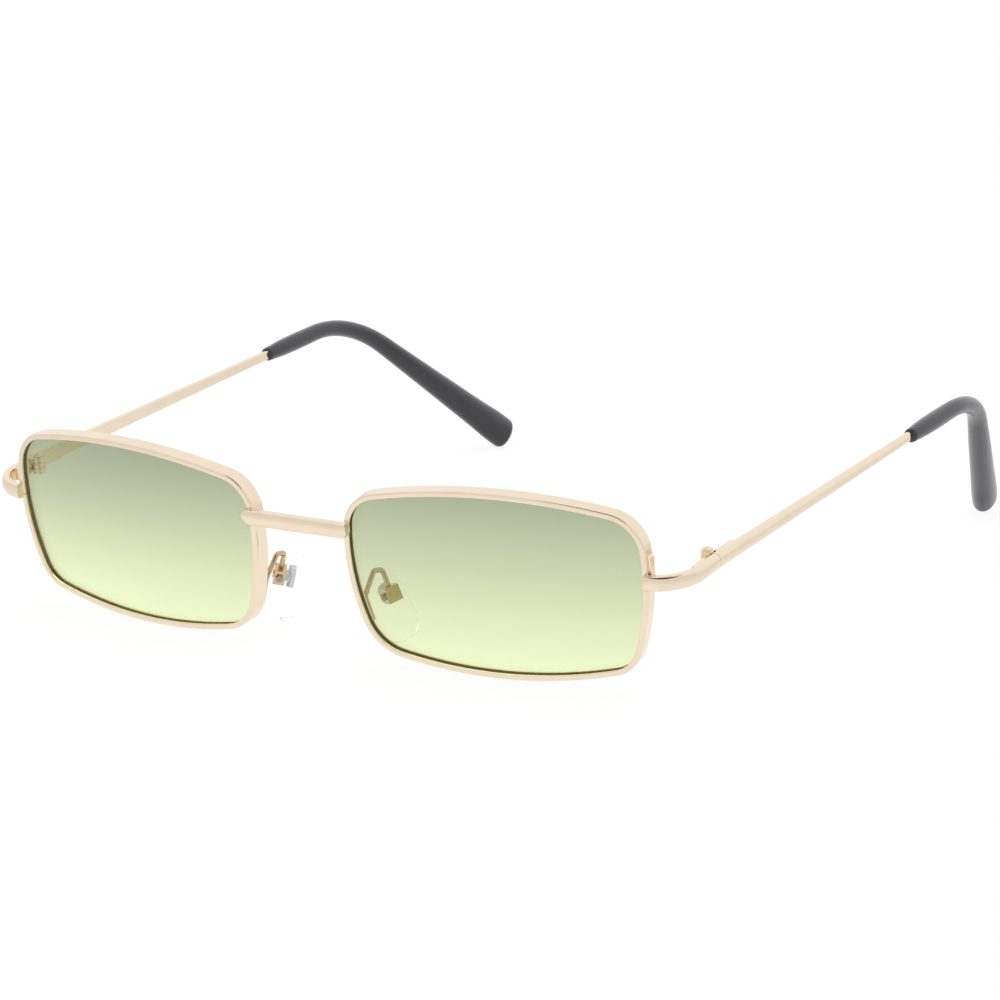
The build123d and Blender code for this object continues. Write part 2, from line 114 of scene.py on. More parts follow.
def share(title, description, value):
    """A plain number from nothing to one."""
    return bpy.props.FloatProperty(
        name=title, description=description, default=value, min=0, max=1
    )


def power(title, description, watts):
    """A lamp's power."""
    return bpy.props.FloatProperty(name=title, description=description, default=watts, unit="POWER")


def colour(title, description, hex_colour):
    """A colour that a user may change, given as sRGB hex."""
    return bpy.props.FloatVectorProperty(
        name=title, description=description, default=linear(hex_colour), subtype="COLOR", size=3,
        min=0, max=1,
    )


class FrontSizes(bpy.types.PropertyGroup):
    """Lens openings, rims, bridge and end pieces."""
    half_width: length("Opening half width", "Half the width of a lens opening", 25.0)
    top: length("Opening top", "Height of the opening above its widest line", 10.9)
    bottom: length("Opening bottom", "Depth of the opening below its widest line", 18.8)
    top_arc: length("Top arc", "Radius of the top edge", 98.0)
    bottom_arc: length("Bottom arc", "Radius of the bottom edge", 90.0)
    nasal_arc: length("Nasal arc", "Radius of the side next to the nose", 38.8)
    temporal_arc: length("Temporal arc", "Radius of the side next to the temple", 39.4)
    nasal_top: length("Nasal top corner", "Corner radius", 6.0)
    temporal_top: length("Temporal top corner", "Corner radius", 6.2)
    nasal_bottom: length("Nasal bottom corner", "Corner radius", 7.3)
    temporal_bottom: length("Temporal bottom corner", "Corner radius", 4.9)
    between: length("Between openings", "Distance between the two openings", 18.8)
    curve: length("Lens curve", "Radius of the lens curve", 206.0)
    wrap: turn("Wrap", "Turn of each lens about the vertical, in degrees", 7.1)
    rim_depth: length("Rim depth", "Front to back", 2.8)
    rim_wall: length("Rim wall", "From the opening to the outside", 0.95)
    rim_round: length("Rim rounding", "Radius of the rim's outer edges", 0.3)
    lip_round: length("Lip rounding", "Radius of the rim's inner edges", 0.16)
    groove: length("Groove depth", "Depth of the lens groove", 0.45)
    lip: length("Groove lip", "Metal in front of the groove", 0.45)
    groove_round: length("Groove rounding", "Radius of the groove's corners", 0.06)
    split: length("Split", "Gap between the two ends of a rim", 0.1)
    split_drop: length("Split drop", "Depth of the split below the opening's widest line", 1.8)
    lens_thickness: length("Lens thickness", "Front to back", 1.8)
    clearance: length("Lens clearance", "Room round the lens in its groove", 0.04)
    bridge_height: length("Bridge height", "Height of the bridge bar", 2.6)
    bridge_thickness: length("Bridge thickness", "Thickness of the bridge bar", 1.55)
    bridge_rise: length("Bridge rise", "Height of the bridge's middle", 3.25)
    bridge_reach: length("Bridge reach", "How far it reaches past the opening's edge", 0.45)
    bridge_lower: length("Bridge lower corner", "Corner radius seen from the front", 1.2)
    bridge_upper: length("Bridge upper corner", "Corner radius seen from the front", 0.4)
    crown: length("Bar crown", "Rise of the bars' rounded face", 0.35)
    edge: length("Bar edge", "Radius of the bars' long edges at the back", 0.25)
    front_edge: length("Bar front edge", "Radius of the long edges at the crowned face", 0.55)
    end_round: length("Bar end rounding", "Radius that tumbling gives a bar's cut end", 0.1)
    braze: length("Braze depth", "How far a brazed bar sinks in", 0.12)
    bar_height: length("Bar height", "Height of end piece and temple at the hinge", 2.5)
    bar_thickness: length("Bar thickness", "Thickness of both bars at the hinge", 1.5)
    bar_drop: length("Bar drop", "Depth of the bar below the opening's widest line", 1.2)
    bar_outside: length("Bar outside opening", "From the opening to the temple's middle", 6.5)
    gap_behind: length("Gap behind rim", "From the rim's front to the hinge gap", 11.3)
    hinge_gap: length("Hinge gap", "Gap between end piece and open temple", 0.1)
    seat_start: length("End piece start", "Its start past the opening's edge", 0.35)
    seat: length("End piece seat", "Straight length on the rim", 1.0)
    hinge_offset: length("Hinge offset", "From the bar's middle to the hinge axis", 1.95)
    hinge_behind: length("Hinge behind gap", "From the hinge gap to the hinge axis", 0.6)


class TempleSizes(bpy.types.PropertyGroup):
    """Temple bars and their moulded tips."""
    overlap: length("Bar start", "Length of the bar in front of its second section", 0.4)
    toe_in: turn("Toe in", "Turn of the open temple towards the other, in degrees", 1.2)
    drop: turn("Drop", "Fall of the temple from the front's square, in degrees", 3.9)
    bend_after: length("Bend after gap", "Straight length before the ear bend", 84.1)
    bend_radius: length("Bend radius", "Radius of the ear bend", 24.5)
    bend_angle: turn("Bend angle", "Angle of the ear bend, in degrees", 46.3)
    bend_tilt: turn("Bend tilt", "Lean of the bend towards the head, in degrees", 23.8)
    total: length("Temple length", "From the gap to the end of the tip", 138.7)
    mouth: length("Mouth after gap", "From the gap to the mouth of the tip", 69.0)
    mouth_height: length("Bar height at the mouth", "Height where it enters the tip", 1.6)
    mouth_thickness: length("Bar thickness at the mouth", "Thickness where it enters the tip", 1.1)
    bar_in_tip: length("Bar in tip", "How far the flat bar reaches into the tip", 2.0)
    core: length("Core radius", "Radius of the core wire in the tip", 0.55)
    core_short: length("Core short of end", "From the core's end to the tip's end", 5.0)
    paddle_height: length("Paddle height", "Widest height of the tip", 5.9)
    paddle_thickness: length("Paddle thickness", "Widest thickness of the tip", 4.4)
    end_radius: length("Tip end radius", "Rounding of the tip's end", 1.3)
    mouth_radius: length("Tip mouth radius", "Rounding of the tip's mouth", 0.35)


class PadSizes(bpy.types.PropertyGroup):
    """Nose pads and their arms."""
    box_inset: length("Box inset", "From the opening's nasal side to the pad box", 1.6)
    box_y: length("Box depth", "From the front to the middle of the pad box", 7.3)
    box_drop: length("Box drop", "Depth of the pad box below the opening's widest line", 10.6)
    splay: turn("Splay", "Turn of the pad about its height, in degrees", 32.7)
    frontal: turn("Frontal angle", "Lean of the pad's top towards the nose, in degrees", 19.5)
    standoff: length("Standoff", "From the box's middle to the pad's back", 1.25)
    thickness: length("Pad thickness", "Thickness of the pad", 2.4)
    upper: length("Upper radius", "Radius of the pad's upper end", 2.7)
    lower: length("Lower radius", "Radius of the pad's lower end", 3.4)
    height: length("Pad height", "Length of the pad", 12.6)
    below: length("Pad below box", "From the box's middle down to the pad's middle", 2.1)
    edge: length("Pad edge radius", "Rounding of the pad's edge", 0.95)
    belly: length("Pad belly", "Rise of the face that rests on the nose", 0.25)
    box_height: length("Box height", "Height of the pad box", 2.6)
    arm: length("Arm radius", "Radius of the pad arm's wire", 0.42)
    root_inset: length("Root inset", "Root of the arm from the opening's nasal side", 1.45)
    root_drop: length("Root drop", "Depth of the arm's root", 12.9)
    turn_inset: length("Turn inset", "Place of the arm's first bend", 0.3)
    turn_drop: length("Turn drop", "Depth of the arm's first bend", 9.0)
    loop_inset: length("Loop inset", "Place of the arm's loop", 0.1)
    loop_y: length("Loop depth", "Depth of the arm's loop behind the front", 5.1)
    loop_drop: length("Loop drop", "Depth of the arm's loop below the widest line", 6.0)
    over_box: length("Over box", "Height of the arm's last bend over the box", 2.9)
    bend: length("Arm bend radius", "Radius of the arm's bends", 0.9)


class Finishes(bpy.types.PropertyGroup):
    """Colours and polish."""
    gold: colour("Pale gold", "Plated frame", "#f5e5cf")
    gold_deep: colour("Deeper gold", "Plated frame where the plating is thicker", "#eddac0")
    gold_polish: share("Gold roughness", "Roughness of the polished plating", 0.1)
    wire_gold: colour("Wire gold", "Plated pad arms and boxes", "#dcc5a3")
    wire_gold_deep: colour("Deeper wire gold", "Pad arms where plating is thicker", "#b99c74")
    steel: colour("Screw steel", "Screws and their slots", "#a89c8b")
    lens_top: colour("Lens top", "Tint at the top of the lens", "#aab395")
    lens_middle: colour("Lens middle", "Tint at the widest line of the lens", "#c6cfac")
    lens_lower: colour("Lens lower", "Tint half way down from there", "#e0e8bd")
    lens_bottom: colour("Lens bottom", "Tint at the bottom of the lens", "#f1fbcb")
    # Painted shade: the lens edge's dark olive stands in for the shadowed groove round the lens, and
    # for the dark that the edge shows by refraction
    painted_groove_shade: colour("Lens edge", "Ground edge of the lens in its groove", "#7c7648")
    tip: colour("Tip plastic", "Moulded tips", "#1c1b26")
    tip_polish: share("Tip roughness", "Roughness of the moulded tips", 0.34)
    pad: colour("Pad plastic", "Clear nose pads", "#fdfefd")
    insert: colour("Insert plastic", "Stiff inserts in the nose pads", "#f1f3f5")


class StudioSettings(bpy.types.PropertyGroup):
    """Floor, light and camera."""
    floor_size: length("Floor size", "Half the side of the floor", 3000.0)
    floor: colour("Floor", "Pale studio floor", "#fafafa")
    shadow: share("Shadow", "Share of the object's shadow that the floor keeps", 0.14)
    lit_paper: share("Lit paper", "Brightness of the plain floor, made up to white", 0.82)
    fill: share("Even light", "Strength of the even light from all sides", 0.78)
    low: share("Low background", "Strength near the floor and in front, as metal shows it", 0.84)
    flag: colour("Flag", "Dark card over the camera, as metal shows it", "#3a1c12")
    flag_back: colour("Flag's back", "Dark card where it reaches over the object", "#dcc8b0")
    flag_width: share("Flag width", "Half width of the card, as a share of its distance", 0.42)
    flag_height: share("Flag height", "Half height of the card, as a share of its distance", 0.42)
    # The floor's painted pool of light as metal shows it: its glow is brightest round the object and
    # dims between these two distances
    pool: length("Pool", "Distance at which the floor starts to dim in the metal", 45.0)
    painted_pool_end: length("Pool end", "Distance at which the floor is dimmest in the metal", 150.0)
    key: power("Key light", "Power of the soft overhead light", 1.6)
    side: power("Side light", "Power of the soft side light", 0.9)
    focal: bpy.props.FloatProperty(
        name="Focal length", description="Camera focal length", default=177.077,
        subtype="DISTANCE_CAMERA",
    )


GROUPS = {
    "front": FrontSizes, "temple": TempleSizes, "pads": PadSizes, "finish": Finishes,
    "studio": StudioSettings,
}


# Shapes as whole arrays


def unit(vectors):
    """Vectors divided by their own length."""
    return vectors / np.linalg.norm(vectors, axis=-1, keepdims=True)


def turned(points, axis, angle):
    """Points turned about a main axis: the two other coordinates mix by the angle's cosine and
    sine."""
    i, j = {"X": (1, 2), "Y": (2, 0), "Z": (0, 1)}[axis]
    out = np.array(points, float)
    a = radians(angle)
    out[..., i] = points[..., i] * cos(a) - points[..., j] * sin(a)
    out[..., j] = points[..., i] * sin(a) + points[..., j] * cos(a)
    return out


def rounded(corners, radii, steps=5, closed=True, supports=(0.12, 0.88)):
    """Straight runs whose corners are turned with arcs.
    An arc's centre lies on the corner's middle line, at its radius over the sine of half the
    corner, and its points blend the two tangent directions by their sines. Support points near
    both ends keep each run's shading flat."""
    corner = np.asarray(corners, float)
    radius = np.broadcast_to(np.asarray(radii, float), len(corner))[:, None]
    back = unit(np.roll(corner, 1, 0) - corner)
    ahead = unit(np.roll(corner, -1, 0) - corner)
    half = np.arccos(np.clip((back * ahead).sum(1, keepdims=True), -1, 1)) / 2
    centre = corner + unit(back + ahead) * radius / np.sin(half)
    start = (corner + back * radius / np.tan(half) - centre) / radius
    end = (corner + ahead * radius / np.tan(half) - centre) / radius
    angle = (np.pi - 2 * half)[:, None]
    t = np.linspace(0, 1, steps)[None, :, None]
    arcs = np.sin((1 - t) * angle) * start[:, None] + np.sin(t * angle) * end[:, None]
    arcs = centre[:, None] + arcs / np.sin(angle) * radius[:, None]
    if not closed:
        arcs[0], arcs[-1] = corner[0], corner[-1]
    along = np.asarray(supports)[None, :, None]
    runs = arcs[:, -1:] + (np.roll(arcs, -1, 0)[:, :1] - arcs[:, -1:]) * along
    points = np.concatenate((arcs, runs), 1).reshape(-1, corner.shape[1])
    if closed:
        return points
    return points[steps - 1:len(points) - steps - len(supports) + 1]


def opening(s, gap=0.0):
    """Points and outward directions once round the lens opening, from the split upwards.
    Four large arcs; each corner circle touches two of them from inside, so its centre is as far
    from each arc's centre as that arc's radius less its own. Every point is a centre plus a
    radius along its direction."""
    half_side, whole_side, corner_steps = 26, 50, 22
    centres = np.array((
        (s.half_width - s.temporal_arc, 0),
        (0, s.top - s.top_arc),
        (s.nasal_arc - s.half_width, 0),
        (0, s.bottom_arc - s.bottom),
    ))
    radii = np.array((s.temporal_arc, s.top_arc, s.nasal_arc, s.bottom_arc))
    corner_radii = np.array((s.temporal_top, s.nasal_top, s.nasal_bottom, s.temporal_bottom))
    quadrants = np.array(((1, 1), (-1, 1), (-1, -1), (1, -1)))
    after = np.roll(centres, -1, 0)
    reach, reach_after = radii - corner_radii, np.roll(radii, -1) - corner_radii
    apart = np.linalg.norm(after - centres, axis=1)
    line = (after - centres) / apart[:, None]
    foot = (reach**2 - reach_after**2 + apart**2) / (2 * apart)
    rise = np.sqrt(reach**2 - foot**2)
    across = np.stack((-line[:, 1], line[:, 0]), 1)
    across *= np.sign((across * quadrants).sum(1))[:, None]
    corners = centres + line * foot[:, None] + across * rise[:, None]

    def heading(place, centre):
        return atan2(place[1] - centre[1], place[0] - centre[0]) % (2 * np.pi)

    middle = asin(-s.split_drop / s.temporal_arc)
    away = gap / 2 / s.temporal_arc
    runs, last = [], middle + away
    for k in range(4):
        leave, arrive = heading(corners[k], centres[k]), heading(corners[k], after[k])
        runs.append((centres[k], radii[k], last, leave, half_side if k == 0 else whole_side))
        runs.append((corners[k], corner_radii[k], leave, arrive, corner_steps))
        last = arrive
    runs.append((centres[0], radii[0], last, 2 * np.pi + middle - away, half_side))
    angles = [np.linspace(a, b, n)[:-1] for _, _, a, b, n in runs]
    angles[-1] = np.linspace(runs[-1][2], runs[-1][3], runs[-1][4])
    points = [
        centre + radius * np.stack((np.cos(t), np.sin(t)), 1)
        for (centre, radius, *_), t in zip(runs, angles)
    ]
    t = np.concatenate(angles)
    points, out = np.concatenate(points), np.stack((np.cos(t), np.sin(t)), 1)
    return (points, out) if gap else (points[:-1], out[:-1])


def on_lens_curve(s, flat, depth):
    """Flat lens coordinates put on the lens curve: a sphere's cap at a depth behind the front,
    turned by the wrap."""
    back = s.curve - np.sqrt((s.curve - depth) ** 2 - (flat**2).sum(-1))
    points = np.stack((flat[..., 0], back, flat[..., 1]), -1)
    return turned(points, "Z", s.wrap) + (s.between / 2 + s.half_width, 0, 0)


def rim_front(s, across, height):
    """Place on the rim's front surface."""
    return on_lens_curve(s, np.array((across, height)), 0.0)


def gap_place(s):
    """Middle of the hinge gap, on the bar's centre line."""
    x = s.between / 2 + 2 * s.half_width + s.bar_outside
    return np.array((x, rim_front(s, s.half_width, -s.bar_drop)[1] + s.gap_behind, -s.bar_drop))


def stand(s, points, side):
    """The front's points on the stand: leaned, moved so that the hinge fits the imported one, and
    mirrored for the wearer's right."""
    hinge = turned(gap_place(s) + (-s.hinge_offset, s.hinge_behind, 0), "X", LEAN)
    points = turned(points, "X", LEAN) + (np.array(HINGE["pos_m"]) - hinge)
    return points * (1 if side == "left" else -1, 1, 1)


def bar_profile(s, height, thickness):
    """Outline of a bar, outward and up: a flat back, four chords of the crown's arc in front
    with their joins rounded almost to that arc, and rounded long edges."""
    back, front, half = -thickness / 2, thickness / 2, height / 2
    bow = (half**2 + s.crown**2) / (2 * s.crown)
    a = np.linspace(-asin(half / bow), asin(half / bow), 5)
    arc = np.stack((front - bow + bow * np.cos(a), bow * np.sin(a)), 1)
    corners = np.concatenate((((back, -half),), arc, ((back, half),)))
    join = bow * 0.9
    return rounded(corners, (s.edge, s.front_edge, join, join, join, s.front_edge, s.edge))


def sections(centres, outward, upward, profile):
    """Profile points carried to each station: the centre plus the two profile coordinates along
    its own directions."""
    profile = np.broadcast_to(profile, (len(centres),) + profile.shape[-2:])
    across = centres[:, None] + profile[..., :1] * outward[:, None]
    return across + profile[..., 1:] * upward[:, None]


def softened(rings, radius, end=True, steps=4):
    """The ends of a bar rounded, the last one only where it shows: the ring at the end is drawn
    back by the radius and closes in along a quarter circle."""
    angle = np.linspace(0, np.pi / 2, steps)[:, None, None]

    def cap(ring, before):
        middle = ring.mean(0)
        direction = unit(middle - before.mean(0))
        size = np.linalg.norm(ring - middle, axis=1).mean()
        closing = 1 - radius / size * (1 - np.cos(angle))
        return middle + (ring - middle) * closing + direction * radius * (np.sin(angle) - 1)

    last = cap(rings[-1], rings[-2]) if end else rings[-1:]
    return np.concatenate((cap(rings[0], rings[1])[::-1], rings[1:-1], last))


def temple_line(t, along):
    """Points and directions of the temple's centre line: straight, round the bend's arc,
    straight again."""
    tilt, bend = radians(t.bend_tilt), t.bend_radius * radians(t.bend_angle)
    down, ahead = np.array((-sin(tilt), 0, -cos(tilt))), np.array((0, 1, 0))
    angle = np.clip(along - t.bend_after, 0, bend)[:, None] / t.bend_radius
    straight = np.minimum(along, t.bend_after)[:, None]
    points = ahead * (straight + t.bend_radius * np.sin(angle))
    points = points + down * t.bend_radius * (1 - np.cos(angle))
    direction = ahead * np.cos(angle) + down * np.sin(angle)
    return points + direction * (along[:, None] - straight - t.bend_radius * angle), direction


def temple_rings(s, t, along, profile):
    """Temple sections at lengths behind the gap, put in the front's frame: dropped, toed in and
    moved to the gap."""
    points, direction = temple_line(t, along)
    outward = unit(np.array((1, 0, 0)) - direction * direction[:, :1])
    rings = sections(points, outward, np.cross(outward, direction), profile)
    return turned(turned(rings, "X", -t.drop), "Z", t.toe_in) + gap_place(s)


def smooth_table(x, table_x, table_y):
    """Values between a table's stations on cubic curves, whose slope at a station joins its two
    neighbours."""
    slope = np.gradient(table_y, table_x)
    k = np.clip(np.searchsorted(table_x, x) - 1, 0, len(table_x) - 2)
    step = table_x[k + 1] - table_x[k]
    u = (x - table_x[k]) / step
    return (
        (1 + 2 * u) * (1 - u) ** 2 * table_y[k] + u * (1 - u) ** 2 * step * slope[k]
        + u**2 * (3 - 2 * u) * table_y[k + 1] + u**2 * (u - 1) * step * slope[k + 1]
    )


def wire(path, radius, around=20):
    """Round wire: a circle carried along a path, on two directions square to it. The first is
    the path's cross product with a line that it never follows."""
    direction = unit(np.gradient(path, axis=0))
    outward = unit(np.cross(direction, (1.0, 0.1, 0.0)))
    t = np.linspace(0, 2 * np.pi, around, endpoint=False)
    circle = radius * np.stack((np.cos(t), np.sin(t)), 1)
    return sections(path, outward, np.cross(outward, direction), circle)


def egg(p, inset, around=72):
    """The pad's egg outline, across and up, drawn in by an inset: for each direction, the point
    furthest out on one of two circles."""
    t = np.linspace(0, 2 * np.pi, around, endpoint=False)
    high, low = p.height / 2 - p.upper, p.lower - p.height / 2
    on_upper = (high - low) * np.sin(t) + p.upper - p.lower > 0
    radius = np.where(on_upper, p.upper, p.lower) - inset
    return np.stack((radius * np.cos(t), radius * np.sin(t) + np.where(on_upper, high, low)), 1)


def make_piece(name, rings, body, node, slot, materials, fan=True, material_index=None):
    """A mesh from rings of points: each ring joins the next with four-sided faces, the ends are
    closed with a fan or one face, and all faces are turned round where the volume comes out
    below zero."""
    count, around = rings.shape[:2]
    ring = np.arange(around)
    after = np.roll(ring, -1)
    start = np.arange(count - 1)[:, None] * around
    ahead = start + around
    quads = np.stack((start + ring, start + after, ahead + after, ahead + ring), -1).reshape(-1, 4)
    last = (count - 1) * around
    pole = np.full(around, count * around)
    fans = np.concatenate((
        np.stack((pole, after, ring), 1),
        np.stack((pole + 1, last + ring, last + after), 1),
    ))
    points = np.concatenate((rings.reshape(-1, 3), (rings[0].mean(0), rings[-1].mean(0))))
    triangles = np.concatenate((quads[:, :3], quads[:, [0, 2, 3]], fans))
    a, b, c = points[triangles].transpose(1, 0, 2)
    if (a * np.cross(b, c)).sum() < 0:
        quads, fans, ring = quads[:, ::-1], fans[:, ::-1], ring[::-1]
    if fan:
        ends = fans.tolist()
    else:
        points = points[:-2]
        ends = [ring[::-1].tolist(), (last + ring).tolist()]
    mesh = bpy.data.meshes.new(name)
    mesh.from_pydata(points.tolist(), [], quads.tolist() + ends)
    mesh.polygons.foreach_set("use_smooth", np.ones(len(mesh.polygons), bool))
    for material in materials:
        mesh.materials.append(material)
    if material_index is not None:
        index = np.zeros(len(mesh.polygons), np.int32)
        index[:len(quads)] = np.repeat(material_index, around)
        mesh.polygons.foreach_set("material_index", index)
    mesh.set_sharp_from_angle(angle=radians(SHARP_FROM))
    mesh.update()
    piece = bpy.data.objects.new(name, mesh)
    bpy.context.scene.collection.objects.link(piece)
    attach(piece, body)
    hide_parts(node)


def make_pair(s, name, rings, body, node, slot, materials, **options):
    """One piece on each side, from rings in the front's frame. It rides on the front, or on its
    own side's temple or pad."""
    for side in SIDES:
        make_piece(
            f"{side}_{name}", stand(s, rings, side), body if body == "front" else f"{side}_{body}",
            f"{side}_{node}", slot, materials, **options
        )


# Materials


def add(tree, kind, inputs=None, **settings):
    """One node with its settings; each input is a plain value or another node's output."""
    node = tree.nodes.new(kind)
    for key, value in settings.items():
        setattr(node, key, value)
    for key, value in (inputs or {}).items():
        if isinstance(value, bpy.types.NodeSocket):
            tree.links.new(value, node.inputs[key])
        else:
            node.inputs[key].default_value = value
    return node


def made_once(name, shade):
    """A material by its name, made the first time that it is asked for: shade gets the node tree
    and the Object coordinates, adds the nodes and gives back the shader's output."""
    if name in bpy.data.materials:
        return bpy.data.materials[name]
    material = bpy.data.materials.new(name)
    material.use_nodes = True
    tree = material.node_tree
    tree.nodes.clear()
    place = add(tree, "ShaderNodeTexCoord").outputs["Object"]
    add(tree, "ShaderNodeOutputMaterial", {"Surface": shade(tree, place)})
    return material


def rgba(values, brighter=1.0):
    """Colour with full cover, made brighter or darker by a factor."""
    return (*(c * brighter for c in values), 1.0)


def plated(name, pale, deep, polish):
    """Polished plating over copper-nickel: mirror-like, with a faint change of tone between thin
    and thick plating every few millimetres, and tumbling marks of about a tenth of one."""
    def shade(tree, place):
        tone = add(tree, "ShaderNodeTexNoise", {
            "Vector": place, "Scale": GOLD_TONES, "Detail": 2.0,
        })
        mixed = add(tree, "ShaderNodeMix", {
            "Factor": tone.outputs["Fac"], "A": rgba(pale), "B": rgba(deep),
        }, data_type="RGBA")
        marks = add(tree, "ShaderNodeTexNoise", {
            "Vector": place, "Scale": TUMBLING_MARKS, "Detail": 3.0, "Roughness": 0.6,
        })
        # The pattern seldom leaves 0.3 to 0.7, so that range takes in the whole spread
        rough = add(tree, "ShaderNodeMapRange", {
            "Value": marks.outputs["Fac"], "From Min": 0.3, "From Max": 0.7,
            "To Min": polish * 0.7, "To Max": polish * 1.4,
        })
        bump = add(tree, "ShaderNodeBump", {
            "Height": marks.outputs["Fac"], "Strength": 0.04, "Distance": 0.02 * MM,
        })
        return add(tree, "ShaderNodeBsdfPrincipled", {
            "Base Color": mixed.outputs["Result"], "Metallic": 1.0,
            "Roughness": rough.outputs["Result"], "Normal": bump.outputs["Normal"],
        }).outputs["BSDF"]

    return made_once(name, shade)


def marked(name, marks, finish, tones=None, roughness=None, relief=None, detail=2.0):
    """A finish with one fine pattern, of so many marks to a metre. Where they are given, the
    pattern blends two tones, spreads the roughness between two values, and raises the surface by
    a strength and a height."""
    def shade(tree, place):
        inputs = dict(finish)
        pattern = add(tree, "ShaderNodeTexNoise", {
            "Vector": place, "Scale": marks, "Detail": detail,
        }).outputs["Fac"]
        if tones:
            inputs["Base Color"] = add(tree, "ShaderNodeMix", {
                "Factor": pattern, "A": tones[0], "B": tones[1],
            }, data_type="RGBA").outputs["Result"]
        if roughness:
            inputs["Roughness"] = add(tree, "ShaderNodeMapRange", {
                "Value": pattern, "To Min": roughness[0], "To Max": roughness[1],
            }).outputs["Result"]
        if relief:
            inputs["Normal"] = add(tree, "ShaderNodeBump", {
                "Height": pattern, "Strength": relief[0], "Distance": relief[1],
            }).outputs["Normal"]
        return add(tree, "ShaderNodeBsdfPrincipled", inputs).outputs["BSDF"]

    return made_once(name, shade)


def polished_gold(f):
    """Copper-nickel bar, plated pale gold and tumbled bright."""
    return plated("pale_gold_plated_copper_nickel", f.gold, f.gold_deep, f.gold_polish)


def wire_gold(f):
    """Drawn wire and stamped boxes of the pad arms, plated a deeper, browner gold than the
    rims."""
    return plated("gold_plated_drawn_wire", f.wire_gold, f.wire_gold_deep, f.gold_polish)


def turned_steel(f):
    """Plated steel screws, turned on a lathe: fine marks about a seventh of a millimetre across
    give them a duller shine than the frame's."""
    return marked(
        "turned_plated_steel", TURNING_MARKS, {"Base Color": rgba(f.steel), "Metallic": 1.0},
        roughness=(0.2, 0.42), relief=(0.12, 0.03 * MM)
    )


def tinted_lens(s, f):
    """Cast lens, dipped in dye from the top: clear, grey-green above and pale yellow-green below.
    The tint follows a point's height in the front's own frame, which is its product with the
    leaned upright, less that of the opening's widest line."""
    def shade(tree, place):
        upright = add(tree, "ShaderNodeVectorMath", {0: place, 1: UPRIGHT}, operation="DOT_PRODUCT")
        level = stand(s, np.zeros((1, 3)), "left")[0] @ np.array(UPRIGHT)
        height = add(tree, "ShaderNodeMapRange", {
            "Value": upright.outputs["Value"],
            "From Min": level - s.bottom, "From Max": level + s.top,
        })
        ramp = add(tree, "ShaderNodeValToRGB", {"Fac": height.outputs["Result"]})
        stops = ramp.color_ramp.elements
        lowest, widest = 0.03, s.bottom / (s.bottom + s.top)
        stops[0].position, stops[0].color = lowest, rgba(f.lens_bottom)
        stops[1].position, stops[1].color = 1.0, rgba(f.lens_top)
        stops.new(widest).color = rgba(f.lens_middle)
        stops.new(widest / 2).color = rgba(f.lens_lower)
        return add(tree, "ShaderNodeBsdfPrincipled", {
            "Base Color": ramp.outputs["Color"], "Roughness": 0.0, "IOR": 1.5,
            "Transmission Weight": 1.0,
        }).outputs["BSDF"]

    return made_once("dip_tinted_lens", shade)


def painted_groove_shade(f):
    """Painted shade on the lens's ground edge in its groove: matt olive brown that stands in for the
    dark of the groove and of the edge's refraction, with grinding marks of a quarter of a
    millimetre."""
    return marked(
        "lens_edge_painted_groove_shade", GRINDING_MARKS, {"Roughness": 0.8, "Specular IOR Level": 0.1},
        tones=(rgba(f.painted_groove_shade), rgba(f.painted_groove_shade, 1.5))
    )


def moulded_tip(f):
    """Acetate-like plastic moulded over the wire and tumbled: dark charcoal with a very fine,
    shallow unevenness about a third of a millimetre across, under the glossier skin that
    tumbling leaves, which is drawn as a coat."""
    return marked(
        "tumbled_moulded_tip", MOULDING_GRAIN,
        {"IOR": 1.4, "Coat Weight": 0.7, "Coat Roughness": 0.12, "Coat IOR": 1.5},
        tones=(rgba(f.tip), rgba(f.tip, 1.25)),
        roughness=(f.tip_polish - 0.05, f.tip_polish + 0.06), relief=(0.06, 0.03 * MM)
    )


def clear_pad(f):
    """Clear soft plastic, moulded round its insert: it hardly bends the light, so it shows only
    as a faint outline, with waves about a millimetre long."""
    return marked("clear_moulded_pad", PAD_WAVES, {
        "Base Color": rgba(f.pad), "Roughness": 0.05, "IOR": 1.13, "Transmission Weight": 1.0,
    }, relief=(0.1, 0.05 * MM), detail=1.0)


def pad_insert(f):
    """Hard clear plastic insert, slightly milky: half gloss, with a fine moulding grain."""
    return marked("moulded_pad_insert", MOULDING_GRAIN, {
        "Roughness": 0.5, "IOR": 1.3, "Transmission Weight": 0.6,
    }, tones=(rgba(f.insert), rgba(f.insert, 0.92)))


